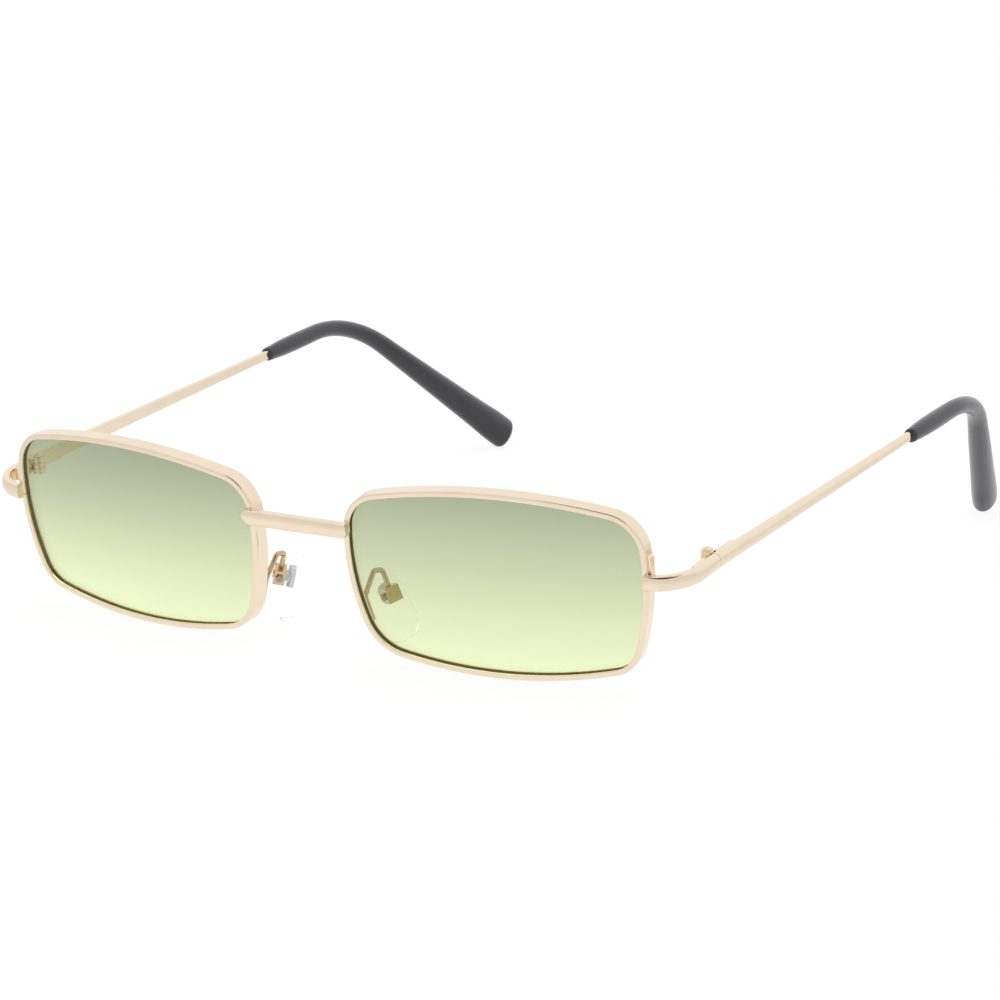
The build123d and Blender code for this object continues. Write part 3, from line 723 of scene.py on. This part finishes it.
def studio_floor(studio):
    """Seamless pale paper: seen by the camera, and in metal and glass, mostly as even white that
    keeps part of the shadow, and in metal with a painted pool of light that is brightest round the
    object and dims away from it; to all other light it is plain matt paper."""
    def shade(tree, place):
        path = add(tree, "ShaderNodeLightPath").outputs
        seen = add(tree, "ShaderNodeMath", {
            0: path["Is Camera Ray"], 1: path["Is Glossy Ray"],
        }, operation="ADD")
        seen = add(tree, "ShaderNodeMath", {
            0: seen.outputs[0], 1: path["Is Transmission Ray"],
        }, operation="ADD", use_clamp=True)
        white = add(tree, "ShaderNodeMath", {
            0: seen.outputs[0], 1: 1 - studio.shadow,
        }, operation="MULTIPLY")
        # Painted pool of light: for glossy rays the glow dims with distance from the object, so the
        # floor is brightest round it
        away = add(tree, "ShaderNodeVectorMath", {
            0: place, 1: (0, HINGE["pos_m"][1], 0),
        }, operation="DISTANCE")
        dim = add(tree, "ShaderNodeMapRange", {
            "Value": away.outputs["Value"], "From Min": studio.pool, "From Max": studio.painted_pool_end,
            "To Max": 1 - studio.low,
        }, interpolation_type="SMOOTHSTEP")
        lost = add(tree, "ShaderNodeMath", {
            0: dim.outputs["Result"], 1: path["Is Glossy Ray"],
        }, operation="MULTIPLY")
        # The paper's share of the mix falls short of white, so the glow makes up for it
        level = (1 - studio.shadow * studio.lit_paper) / (1 - studio.shadow)
        bright = add(tree, "ShaderNodeMath", {0: level, 1: lost.outputs[0]}, operation="SUBTRACT")
        paper = add(tree, "ShaderNodeBsdfDiffuse", {"Color": rgba(studio.floor)})
        glow = add(tree, "ShaderNodeEmission", {
            "Color": (1, 1, 1, 1), "Strength": bright.outputs[0],
        })
        return add(tree, "ShaderNodeMixShader", {
            0: white.outputs[0], 1: paper.outputs[0], 2: glow.outputs[0],
        }).outputs[0]

    return made_once("studio_paper", shade)


def studio_world(studio):
    """Even light from all sides. The camera and clear pieces see plain white; metal sees white
    overhead, a little less near the floor and in front, and one soft-edged card over the camera,
    dark in front and pale at its back."""
    world = bpy.data.worlds.new("even_studio_light")
    world.use_nodes = True
    tree = world.node_tree
    tree.nodes.clear()
    path = add(tree, "ShaderNodeLightPath").outputs
    seen = add(tree, "ShaderNodeMath", {
        0: path["Is Camera Ray"], 1: path["Is Transmission Ray"],
    }, operation="ADD", use_clamp=True)
    heading = add(tree, "ShaderNodeTexCoord").outputs["Generated"]
    rise = add(tree, "ShaderNodeVectorMath", {0: heading, 1: SKY}, operation="DOT_PRODUCT")
    soft = add(tree, "ShaderNodeMapRange", {
        "Value": rise.outputs["Value"], "From Min": SKY_FROM, "From Max": SKY_TO,
        "To Min": studio.low, "To Max": 1.0,
    }, interpolation_type="SMOOTHSTEP")
    card = add(tree, "ShaderNodeVectorMath", {0: heading, 1: CARD}, operation="SUBTRACT")
    card = add(tree, "ShaderNodeVectorMath", {
        0: card.outputs["Vector"], 1: (1 / studio.flag_width, 1 / studio.flag_height, 0),
    }, operation="MULTIPLY")
    card = add(tree, "ShaderNodeVectorMath", {0: card.outputs["Vector"]}, operation="LENGTH")
    covered = add(tree, "ShaderNodeMapRange", {
        "Value": card.outputs["Value"], "From Min": CARD_OUTSIDE, "From Max": CARD_INSIDE,
    }, interpolation_type="SMOOTHSTEP")
    back = add(tree, "ShaderNodeSeparateXYZ", {"Vector": heading}).outputs["Y"]
    fading = add(tree, "ShaderNodeMapRange", {
        "Value": back, "From Min": CARD_DARK, "From Max": CARD_PALE,
    })
    card = add(tree, "ShaderNodeMix", {
        "Factor": fading.outputs["Result"], "A": rgba(studio.flag), "B": rgba(studio.flag_back),
    }, data_type="RGBA")
    tone = add(tree, "ShaderNodeMix", {
        "Factor": covered.outputs["Result"], "A": (1, 1, 1, 1), "B": card.outputs["Result"],
    }, data_type="RGBA")
    even = add(tree, "ShaderNodeBackground", {"Color": (1, 1, 1, 1), "Strength": studio.fill})
    white = add(tree, "ShaderNodeBackground", {"Color": (1, 1, 1, 1), "Strength": 1.0})
    metal = add(tree, "ShaderNodeBackground", {
        "Color": tone.outputs["Result"], "Strength": soft.outputs["Result"],
    })
    mixed = add(tree, "ShaderNodeMixShader", {
        0: path["Is Glossy Ray"], 1: even.outputs[0], 2: metal.outputs[0],
    })
    mixed = add(tree, "ShaderNodeMixShader", {
        0: seen.outputs[0], 1: mixed.outputs[0], 2: white.outputs[0],
    })
    add(tree, "ShaderNodeOutputWorld", {"Surface": mixed.outputs[0]})
    return world


# Operators


class SUNGLASSES_OT_rims(bpy.types.Operator):
    """Make both rims: a grooved section carried round the opening, from split to split"""
    bl_idname = "sunglasses.rims"
    bl_label = "Rims"

    def execute(self, context):
        s, f = context.scene.sunglasses_front, context.scene.sunglasses_finish
        flat, out = opening(s, s.split)
        far = s.lip + s.lens_thickness + 2 * s.clearance
        corners = (
            (s.rim_wall, 0), (s.rim_wall, s.rim_depth), (0, s.rim_depth), (0, far),
            (s.groove, far), (s.groove, s.lip), (0, s.lip), (0, 0),
        )
        radii = (s.rim_round,) * 2 + (s.lip_round,) + (s.groove_round,) * 4 + (s.lip_round,)
        section = rounded(corners, radii, steps=4)
        # A rim point is an opening point grown outwards by the section's first coordinate, at a
        # depth of its second
        grown = flat[:, None] + out[:, None] * section[None, :, :1]
        rings = on_lens_curve(s, grown, section[None, :, 1])
        make_pair(s, "rim_band", rings, "front", "rim", "frame_metal", [polished_gold(f)],
                  fan=False)
        return {"FINISHED"}


class SUNGLASSES_OT_lenses(bpy.types.Operator):
    """Make both lenses: rings that grow from the front's middle to the edge and close in behind"""
    bl_idname = "sunglasses.lenses"
    bl_label = "Lenses"

    def execute(self, context):
        s, f = context.scene.sunglasses_front, context.scene.sunglasses_finish
        flat, out = opening(s)
        reach = s.groove - s.clearance
        front, back = s.lip + s.clearance, s.lip + s.clearance + s.lens_thickness
        # Each ring is a share of the opening's outline, and the two at the edge reach beyond it
        steps, smallest = 26, 0.02
        shares = np.concatenate((
            np.linspace(smallest, 1, steps), (1, 1), np.linspace(1, smallest, steps),
        ))[:, None, None]
        beyond = np.concatenate((np.zeros(steps), (reach, reach), np.zeros(steps)))[:, None, None]
        depths = np.repeat((front, back), steps + 1)[:, None]
        rings = on_lens_curve(s, flat * shares + out * beyond, depths)
        # Faces on the lens's edge and on the strips hidden in the groove take the second material, a
        # painted shade of the groove
        in_groove = np.zeros(len(rings) - 1, np.int32)
        in_groove[steps - 1:steps + 2] = 1
        make_pair(s, "tinted_lens", rings, "front", "lens", "tinted_lens",
                  [tinted_lens(s, f), painted_groove_shade(f)], material_index=in_groove)
        return {"FINISHED"}


class SUNGLASSES_OT_bridge(bpy.types.Operator):
    """Make the bridge: the bar's section carried across, its ends cut by the corner circles"""
    bl_idname = "sunglasses.bridge"
    bl_label = "Bridge"

    def execute(self, context):
        s, f = context.scene.sunglasses_front, context.scene.sunglasses_finish
        half = s.between / 2 + s.bridge_reach
        # Stations lie close together round the corner circle, from just inside the end
        corner_steps, run_steps = 14, 12
        near = s.bridge_lower * (1 - np.cos(np.linspace(0.02, np.pi / 2, corner_steps)))
        from_end = np.concatenate((near, np.linspace(near[-1], half, run_steps)[1:]))
        x = np.concatenate((from_end - half, (half - from_end)[:-1][::-1]))
        left_over = half - np.abs(x)

        def cut(radius):
            """Height lost near an end: the radius less the corner circle's own height there."""
            short = np.clip(radius - left_over, 0, radius)
            return radius - np.sqrt(radius**2 - short**2)

        high = s.bridge_height / 2 - cut(s.bridge_upper)
        low = -s.bridge_height / 2 + cut(s.bridge_lower)
        outward, upward = bar_profile(s, s.bridge_height, s.bridge_thickness).T
        back = rim_front(s, -s.half_width, s.bridge_rise)[1] + s.braze
        part = upward / s.bridge_height + 0.5
        rings = np.stack(np.broadcast_arrays(
            x[:, None],
            back - s.bridge_thickness / 2 - outward,
            s.bridge_rise + low[:, None] + (high - low)[:, None] * part,
        ), -1)
        rings = softened(rings, s.end_round)
        make_piece("brazed_bridge", stand(s, rings, "left"), "front", "bridge", "frame_metal",
                   [polished_gold(f)])
        return {"FINISHED"}


class SUNGLASSES_OT_end_pieces(bpy.types.Operator):
    """Make both end pieces: the bar's section over the rim, round an arc and back to the gap"""
    bl_idname = "sunglasses.end_pieces"
    bl_label = "End pieces"

    def execute(self, context):
        s, f = context.scene.sunglasses_front, context.scene.sunglasses_finish
        across = s.half_width + s.seat_start
        slant = radians(s.wrap) + asin(across / s.curve)
        off = s.bar_thickness / 2 - s.braze
        start = rim_front(s, across, -s.bar_drop) + (off * sin(slant), -off * cos(slant), 0)
        seat_end = start + np.array((cos(slant), sin(slant), 0)) * s.seat
        gap = gap_place(s)
        # The arc leaves the seat in line with it and ends in line with the temple, so its radius
        # is the way left to go outwards over one less the slant's sine
        bend_steps, run_steps = 36, 4
        radius = (gap[0] - seat_end[0]) / (1 - sin(slant))
        a = np.linspace(slant, np.pi / 2, bend_steps)
        bend = np.stack((np.sin(a) - sin(slant), cos(slant) - np.cos(a), a * 0), 1)
        bend = bend * radius + seat_end
        end = gap - np.array((0, s.hinge_gap / 2, 0))
        part = np.linspace(0, 1, run_steps + 1)[:, None]
        centres = np.concatenate((
            start + (seat_end - start) * part[:-1], bend, bend[-1] + (end - bend[-1]) * part[1:],
        ))
        angle = np.concatenate((np.full(run_steps, slant), a, np.full(run_steps, np.pi / 2)))
        outward = np.stack((np.sin(angle), -np.cos(angle), angle * 0), 1)
        upward = np.broadcast_to(np.array((0.0, 0.0, 1.0)), outward.shape)
        rings = sections(centres, outward, upward, bar_profile(s, s.bar_height, s.bar_thickness))
        rings = softened(rings, s.end_round)
        make_pair(s, "end_bar", rings, "front", "end_piece", "frame_metal", [polished_gold(f)])
        return {"FINISHED"}


class SUNGLASSES_OT_temples(bpy.types.Operator):
    """Make both temple bars: the section narrows to the tip's mouth and goes on as a round core"""
    bl_idname = "sunglasses.temples"
    bl_label = "Temple bars"

    def execute(self, context):
        s, t = context.scene.sunglasses_front, context.scene.sunglasses_temple
        wide = bar_profile(s, s.bar_height, s.bar_thickness)
        narrow = bar_profile(s, t.mouth_height, t.mouth_thickness)
        # The section blends from wide to narrow in line with the length behind the gap
        bar_steps, core_steps, bar_end = 30, 50, t.mouth + t.bar_in_tip
        bar = np.concatenate((np.linspace(t.overlap, t.mouth, bar_steps), (bar_end,)))
        part = np.minimum(bar / t.mouth, 1)[:, None, None]
        core = np.linspace(bar_end, t.total - t.core_short, core_steps)
        profile = np.concatenate((
            wide + (narrow - wide) * part,
            np.broadcast_to(unit(narrow) * t.core, (len(core),) + narrow.shape),
        ))
        rings = temple_rings(s, t, np.concatenate((bar, core)), profile)
        # The first ring is slid along the bar into the plane where the hinge gap ends
        along = unit(rings[1].mean(0) - rings[0].mean(0))
        front_end = gap_place(s)[1] + s.hinge_gap / 2
        rings[0] += along * ((front_end - rings[0, :, 1]) / along[1])[:, None]
        rings = softened(rings, s.end_round / 2, end=False)
        gold = polished_gold(context.scene.sunglasses_finish)
        make_pair(s, "temple_bar", rings, "temple", "temple", "frame_metal", [gold])
        return {"FINISHED"}


class SUNGLASSES_OT_tips(bpy.types.Operator):
    """Make both tips: oval sections along the bend that swell to a paddle, both ends rounded"""
    bl_idname = "sunglasses.tips"
    bl_label = "Temple tips"

    def execute(self, context):
        s, t = context.scene.sunglasses_front, context.scene.sunglasses_temple
        # Places along the tip from mouth to end, and its height and thickness there as shares of
        # the paddle's
        stations = np.array((0.00, 0.04, 0.30, 0.47, 0.62, 0.76, 0.88, 0.94, 1.00))
        heights = np.array((0.40, 0.46, 0.49, 0.55, 0.66, 0.79, 0.91, 1.00, 1.00))
        thicknesses = np.array((0.54, 0.62, 0.66, 0.75, 0.87, 0.93, 0.98, 1.00, 0.98))
        mouth_steps, middle_steps, end_steps, around = 7, 110, 12, 64
        a = np.linspace(0, np.pi / 2, mouth_steps)
        b = np.linspace(np.pi / 2, 0, end_steps)
        middle = np.linspace(t.mouth + t.mouth_radius, t.total - t.end_radius, middle_steps)[1:-1]
        along = np.concatenate((
            t.mouth + t.mouth_radius * (1 - np.cos(a)), middle,
            t.total - t.end_radius * (1 - np.cos(b)),
        ))
        inset = np.concatenate((
            t.mouth_radius * (1 - np.sin(a)), middle * 0, t.end_radius * (1 - np.sin(b)),
        ))
        part = (along - t.mouth) / (t.total - t.mouth)
        half_height = smooth_table(part, stations, heights * t.paddle_height) / 2 - inset
        half_thickness = smooth_table(part, stations, thicknesses * t.paddle_thickness) / 2 - inset
        oval = np.linspace(0, 2 * np.pi, around, endpoint=False)
        profile = np.stack((
            half_thickness[:, None] * np.cos(oval), half_height[:, None] * np.sin(oval),
        ), -1)
        rings = temple_rings(s, t, along, profile)
        plastic = moulded_tip(context.scene.sunglasses_finish)
        make_pair(s, "tip_sleeve", rings, "temple", "temple_tip", "tip_plastic", [plastic])
        return {"FINISHED"}


def in_pad_frame(s, p, points):
    """Pad points in the front's frame: turned by splay and frontal angle and moved to the box."""
    place = np.array((s.between / 2 + p.box_inset, p.box_y, -p.box_drop))
    return turned(turned(points, "Z", -p.splay), "Y", -p.frontal) + place


class SUNGLASSES_OT_pads(bpy.types.Operator):
    """Make both nose pads: egg outlines stacked through the thickness, drawn in at the edges"""
    bl_idname = "sunglasses.pads"
    bl_label = "Nose pads"

    def execute(self, context):
        s, p = context.scene.sunglasses_front, context.scene.sunglasses_pads
        # Both edges are quarter circles, and the face rises as one less the square of the share
        # that its outline has shrunk to
        steps, largest, smallest = 9, 0.9, 0.1
        a = np.linspace(0, np.pi / 2, steps)
        back_x = -p.standoff - p.edge * (1 - np.sin(a))[::-1]
        face_x = -p.standoff - p.thickness + p.edge * (1 - np.sin(a))
        inset = p.edge * (1 - np.cos(a))
        outlines = [egg(p, k) for k in np.concatenate((inset[::-1], inset))]
        shares = np.linspace(largest, smallest, steps)
        outlines += [outlines[-1] * k for k in shares]
        face = -p.standoff - p.thickness - p.belly * (1 - shares**2)
        levels = np.concatenate((back_x, face_x, face))
        flat = np.array(outlines) - (0, p.below)
        rings = np.stack(np.broadcast_arrays(levels[:, None], flat[..., 0], flat[..., 1]), -1)
        rings = in_pad_frame(s, p, rings)
        plastic = clear_pad(context.scene.sunglasses_finish)
        make_pair(s, "clear_pad", rings, "pad", "nose_pad", "pad_plastic", [plastic])
        return {"FINISHED"}


class SUNGLASSES_OT_pad_arms(bpy.types.Operator):
    """Make both pad arms: a round wire from the rim's back, over a loop and down to the box"""
    bl_idname = "sunglasses.pad_arms"
    bl_label = "Pad arms"

    def execute(self, context):
        s, p = context.scene.sunglasses_front, context.scene.sunglasses_pads
        nasal = s.between / 2
        seat = rim_front(s, -s.half_width, -p.turn_drop)[1] + s.rim_depth + p.arm - s.braze
        top = p.box_height / 2
        over, foot = in_pad_frame(s, p, np.array(((0, 0, top + p.over_box), (0, 0, top))))
        corners = (
            (nasal + p.root_inset, seat, -p.root_drop),
            (nasal + p.turn_inset, seat, -p.turn_drop),
            (nasal + p.loop_inset, p.loop_y, -p.loop_drop),
            over,
            foot,
        )
        path = rounded(corners, p.bend, steps=10, closed=False, supports=(0.25, 0.5, 0.75))
        rings = softened(wire(path, p.arm), s.end_round)
        gold = wire_gold(context.scene.sunglasses_finish)
        make_pair(s, "pad_wire", rings, "front", "pad_arm", "frame_metal", [gold])
        return {"FINISHED"}


class SUNGLASSES_OT_fittings(bpy.types.Operator):
    """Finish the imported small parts: plated blocks, hinges and boxes, steel screws, pad inserts"""
    bl_idname = "sunglasses.fittings"
    bl_label = "Blocks, hinges, boxes and screws"

    def execute(self, context):
        f = context.scene.sunglasses_finish
        finishes = {
            "closing_block_lower": polished_gold, "closing_block_upper": polished_gold,
            "hinge_front": polished_gold, "hinge_temple": polished_gold,
            "hinge_screw": polished_gold, "pad_box": wire_gold, "closing_screw": turned_steel,
            "pad_screw": turned_steel, "pad_insert": pad_insert,
        }
        for side in SIDES:
            for part, finish in finishes.items():
                for slot in frame["nodes"][f"{side}_{part}"].material_slots:
                    slot.material = finish(f)
        return {"FINISHED"}


def soft_light(name, place, size, watts):
    """Square soft light at a place, facing the object. Metal and gloss show the even light round
    it, not the lamp."""
    lamp = bpy.data.lights.new(name, "AREA")
    lamp.energy, lamp.size = watts, size
    light = bpy.data.objects.new(name, lamp)
    light.location = place
    light.visible_glossy = False
    towards = Vector(LAMP_AIM) - Vector(place)
    light.rotation_euler = towards.to_track_quat("-Z", "Y").to_euler()
    bpy.context.scene.collection.objects.link(light)


class SUNGLASSES_OT_studio(bpy.types.Operator):
    """Set up the pale floor, the even light, two soft lights and the camera"""
    bl_idname = "sunglasses.studio"
    bl_label = "Studio"

    def execute(self, context):
        scene, studio = context.scene, context.scene.sunglasses_studio
        scene.view_settings.view_transform = "Standard"
        half = studio.floor_size
        mesh = bpy.data.meshes.new("studio_floor")
        square = [(-half, -half, 0), (half, -half, 0), (half, half, 0), (-half, half, 0)]
        mesh.from_pydata(square, [], [(0, 1, 2, 3)])
        mesh.materials.append(studio_floor(studio))
        floor = bpy.data.objects.new("studio_floor", mesh)
        scene.collection.objects.link(floor)

        scene.world = studio_world(studio)
        soft_light("soft_overhead", OVERHEAD, OVERHEAD_SIZE, studio.key)
        soft_light("soft_side", BESIDE, BESIDE_SIZE, studio.side)

        eye = bpy.data.cameras.new("photo_view")
        eye.sensor_width = EYE_SENSOR
        eye.lens = studio.focal
        eye.shift_x, eye.shift_y = EYE_SHIFT
        camera = bpy.data.objects.new("photo_view", eye)
        camera.location = EYE
        camera.rotation_euler = Euler([radians(angle) for angle in EYE_TURN], "XYZ")
        scene.collection.objects.link(camera)
        scene.camera = camera
        return {"FINISHED"}


OPERATORS = (
    SUNGLASSES_OT_rims, SUNGLASSES_OT_lenses, SUNGLASSES_OT_bridge, SUNGLASSES_OT_end_pieces,
    SUNGLASSES_OT_temples, SUNGLASSES_OT_tips, SUNGLASSES_OT_pads, SUNGLASSES_OT_pad_arms,
    SUNGLASSES_OT_fittings, SUNGLASSES_OT_studio,
)


class SUNGLASSES_PT_panel(bpy.types.Panel):
    """Sizes, finishes and the steps that build the sunglasses"""
    bl_label = "Sunglasses"
    bl_idname = "SUNGLASSES_PT_panel"
    bl_space_type = "VIEW_3D"
    bl_region_type = "UI"
    bl_category = "Sunglasses"

    def draw(self, context):
        for operator in OPERATORS:
            self.layout.operator(operator.bl_idname)
        for key in GROUPS:
            box = self.layout.box()
            box.label(text=key.capitalize())
            group = getattr(context.scene, "sunglasses_" + key)
            for name in group.__annotations__:
                box.prop(group, name)


def register():
    """Add the property groups to the scene, and the operators and the panel to Blender."""
    for key, group in GROUPS.items():
        bpy.utils.register_class(group)
        setattr(bpy.types.Scene, "sunglasses_" + key, bpy.props.PointerProperty(type=group))
    for item in OPERATORS + (SUNGLASSES_PT_panel,):
        bpy.utils.register_class(item)


def unregister():
    """Take away what register added."""
    for item in reversed(OPERATORS + (SUNGLASSES_PT_panel,)):
        bpy.utils.unregister_class(item)
    for key, group in GROUPS.items():
        delattr(bpy.types.Scene, "sunglasses_" + key)
        bpy.utils.unregister_class(group)


def main():
    """Build every piece and the studio."""
    register()
    bpy.ops.sunglasses.rims()
    bpy.ops.sunglasses.lenses()
    bpy.ops.sunglasses.bridge()
    bpy.ops.sunglasses.end_pieces()
    bpy.ops.sunglasses.temples()
    bpy.ops.sunglasses.tips()
    bpy.ops.sunglasses.pads()
    bpy.ops.sunglasses.pad_arms()
    bpy.ops.sunglasses.fittings()
    bpy.ops.sunglasses.studio()


if __name__ == "__main__":
    main()
